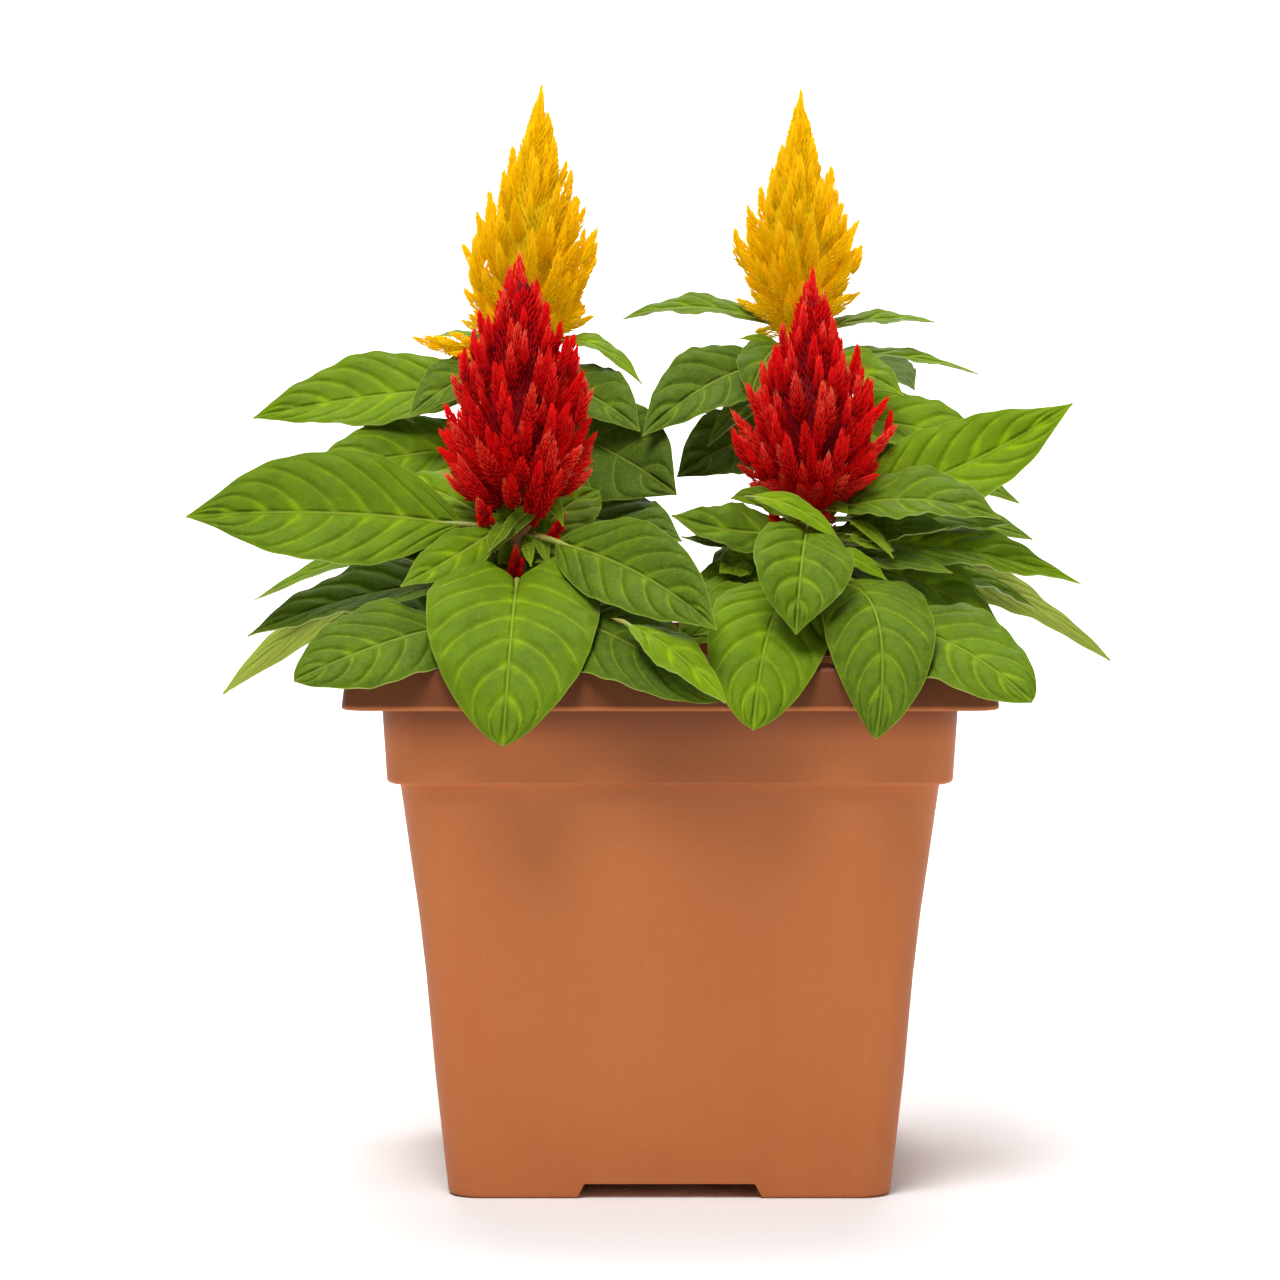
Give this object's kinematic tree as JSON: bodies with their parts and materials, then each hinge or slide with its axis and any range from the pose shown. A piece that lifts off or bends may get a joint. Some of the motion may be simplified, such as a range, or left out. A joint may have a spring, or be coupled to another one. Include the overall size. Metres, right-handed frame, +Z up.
{
  "type": "potted plumed celosia",
  "caption": "Square plastic pot planted with bushy plumed celosias: leafy stems under flame-shaped feathery heads, red in front and yellow behind.",
  "frame": {"origin": "on the surface that the pot stands on, under the middle of the pot", "axes": "+Z up along the pot's axis, -Y to the front with the red plumes, +X to the right"},
  "size_m": [0.3916, 0.3073, 0.4492],
  "materials": {
    "terracotta_plastic": "matte moulded plastic in a terracotta colour, with a faint soft sheen",
    "peat": "loose dark potting peat",
    "leaf": "mid green leaf, satin, with yellow-green veins",
    "red_plume": "soft feathery scarlet florets, velvety",
    "yellow_plume": "soft feathery golden yellow florets, velvety"
  },
  "bodies": {
    "root": {"pot": "terracotta_plastic", "soil": "peat", "plant_front_left": "leaf", "plant_front_right": "leaf", "plant_back_left": "leaf", "plant_back_right": "leaf", "plume_front_left": "red_plume", "plume_front_right": "red_plume", "plume_back_left": "yellow_plume", "plume_back_right": "yellow_plume", "side_plume_back_left": "yellow_plume", "side_plume_front_left_1": "red_plume", "side_plume_front_left_2": "red_plume", "side_plume_front_left_3": "red_plume", "side_plume_front_left_4": "red_plume", "side_plume_front_right_1": "red_plume", "side_plume_front_right_2": "red_plume"}
  },
  "joints": []
}
